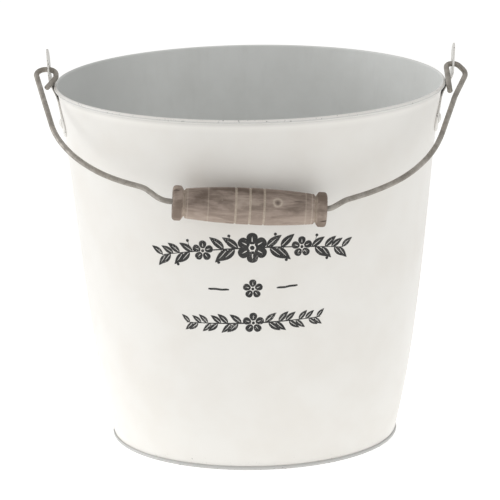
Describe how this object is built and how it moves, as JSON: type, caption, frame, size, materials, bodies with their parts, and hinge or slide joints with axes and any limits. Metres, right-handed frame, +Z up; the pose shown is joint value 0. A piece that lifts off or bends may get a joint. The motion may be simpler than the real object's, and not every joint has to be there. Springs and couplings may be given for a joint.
{
  "type": "florist bucket",
  "caption": "Tapered sheet-metal pail with a rolled rim, a seamed foot and two riveted ears that carry a swinging wire bail with a turned wooden grip.",
  "frame": {"origin": "on the bucket's vertical axis, on the plane of the foot ring that it stands on", "axes": "+Z up, +X from the left ear to the right ear, -Y to the front, where the bail rests and the printed motif is"},
  "size_m": [0.2431, 0.2337, 0.2237],
  "materials": {
    "white_paint": "satin cream-white paint on steel sheet, light grey inside",
    "inside_paint": "matt grey paint inside the bucket",
    "ear_paint": "satin cream-white paint, worn at the edges",
    "motif_ink": "thin printed charcoal ink, slightly worn",
    "core_wire": "plain steel wire",
    "bail_steel": "dull, weathered steel wire",
    "grip_wood": "turned, grey-brown weathered wood, open grained"
  },
  "bodies": {
    "bucket": {"bucket_wall": "white_paint", "rim_wire": "core_wire", "bottom_pan": "white_paint", "ear_left": "ear_paint", "ear_right": "ear_paint", "ear_rivets": "ear_paint"},
    "bail": {"bail_wire": "bail_steel"},
    "grip": {"wooden_grip": "grip_wood"}
  },
  "joints": [
    {"name": "bail_swing", "type": "hinge", "parent": "bucket", "child": "bail", "pos_m": [0, 0, 0.212], "axis": [-1, 0, 0], "range_deg": [0, 231.4]},
    {"name": "grip_spin", "type": "hinge", "parent": "bail", "child": "grip", "pos_m": [-0.0012, -0.11282, 0.15781], "axis": [0.9969, 0.0343, -0.0713], "continuous": true}
  ]
}
